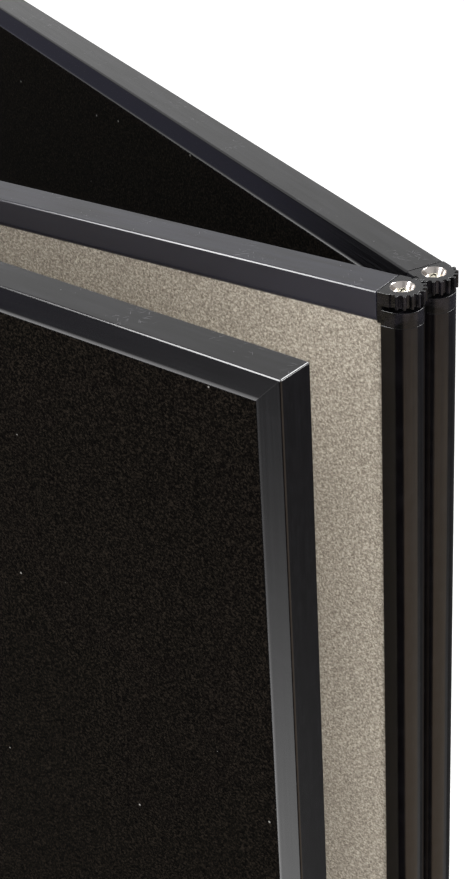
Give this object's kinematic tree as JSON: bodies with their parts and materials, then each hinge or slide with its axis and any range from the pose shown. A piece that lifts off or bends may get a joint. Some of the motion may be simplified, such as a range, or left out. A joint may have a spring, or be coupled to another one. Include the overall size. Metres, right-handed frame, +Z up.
{
  "type": "folding room divider screen",
  "caption": "Concertina room divider: felt-faced boards in dark metal frames, joined edge to edge by geared hinges so each panel folds against the next either way.",
  "frame": {"origin": "middle of the middle panel's bottom rail, on the floor plane under it", "axes": "+X along the middle panel towards the hinge that carries the rear panel, -Y out of its grey felt face, +Z up"},
  "size_m": [1.0133, 0.5908, 1.8],
  "materials": {
    "black_anodised_aluminium": "satin",
    "black_nylon": "gloss",
    "black_loop_felt": "matte",
    "grey_loop_felt": "matte",
    "core_board": "matte",
    "nickel_plate": "polished",
    "zinc_plated_steel": "bright",
    "white_acetal": "matte",
    "cast_zinc": "as cast",
    "black_steel_plate": "satin"
  },
  "bodies": {
    "middle_panel": {"middle_top_rail": "black_anodised_aluminium", "middle_bottom_rail": "black_anodised_aluminium", "middle_core_board": "core_board", "middle_black_felt": "black_loop_felt", "middle_grey_felt": "grey_loop_felt", "middle_right_post": "black_anodised_aluminium", "middle_right_top_gear_cap": "black_nylon", "middle_right_bottom_gear_cap": "black_nylon", "middle_left_post": "black_anodised_aluminium", "middle_left_top_gear_cap": "black_nylon", "middle_left_bottom_gear_cap": "black_nylon", "middle_cup_washers": "nickel_plate", "middle_hinge_screws": "zinc_plated_steel", "middle_pivot_bushes": "white_acetal"},
    "rear_link": {"rear_top_link_plate": "black_steel_plate", "rear_bottom_link_plate": "black_steel_plate"},
    "rear_panel": {"rear_top_rail": "black_anodised_aluminium", "rear_bottom_rail": "black_anodised_aluminium", "rear_core_board": "core_board", "rear_black_felt": "black_loop_felt", "rear_grey_felt": "grey_loop_felt", "rear_free_stile": "black_anodised_aluminium", "rear_top_corner_key": "cast_zinc", "rear_bottom_corner_key": "cast_zinc", "rear_hinge_post": "black_anodised_aluminium", "rear_hinge_top_gear_cap": "black_nylon", "rear_hinge_bottom_gear_cap": "black_nylon", "rear_cup_washers": "nickel_plate", "rear_hinge_screws": "zinc_plated_steel", "rear_pivot_bushes": "white_acetal"},
    "front_link": {"front_top_link_plate": "black_steel_plate", "front_bottom_link_plate": "black_steel_plate"},
    "front_panel": {"front_top_rail": "black_anodised_aluminium", "front_bottom_rail": "black_anodised_aluminium", "front_core_board": "core_board", "front_black_felt": "black_loop_felt", "front_grey_felt": "grey_loop_felt", "front_free_stile": "black_anodised_aluminium", "front_top_corner_key": "cast_zinc", "front_bottom_corner_key": "cast_zinc", "front_hinge_post": "black_anodised_aluminium", "front_hinge_top_gear_cap": "black_nylon", "front_hinge_bottom_gear_cap": "black_nylon", "front_cup_washers": "nickel_plate", "front_hinge_screws": "zinc_plated_steel", "front_pivot_bushes": "white_acetal"}
  },
  "joints": [
    {"name": "rear_link_hinge", "type": "hinge", "parent": "middle_panel", "child": "rear_link", "pos_m": [0.4915, 0, 0.9], "axis": [0, 0, 1], "range_deg": [-106.4, 13.5]},
    {"name": "rear_panel_hinge", "type": "hinge", "parent": "rear_link", "child": "rear_panel", "pos_m": [0.49675, 0.02178, 0.9], "axis": [0, 0, 1], "range_deg": [-106.4, 13.5]},
    {"name": "front_link_hinge", "type": "hinge", "parent": "middle_panel", "child": "front_link", "pos_m": [-0.4915, 0, 0.9], "axis": [0, 0, 1], "range_deg": [-117.8, 2.15]},
    {"name": "front_panel_hinge", "type": "hinge", "parent": "front_link", "child": "front_panel", "pos_m": [-0.49236, -0.02238, 0.9], "axis": [0, 0, 1], "range_deg": [-117.8, 2.15]}
  ],
  "couplings": [
    {"joint": "rear_panel_hinge", "follows": "rear_link_hinge", "ratio": 1},
    {"joint": "front_panel_hinge", "follows": "front_link_hinge", "ratio": 1}
  ]
}
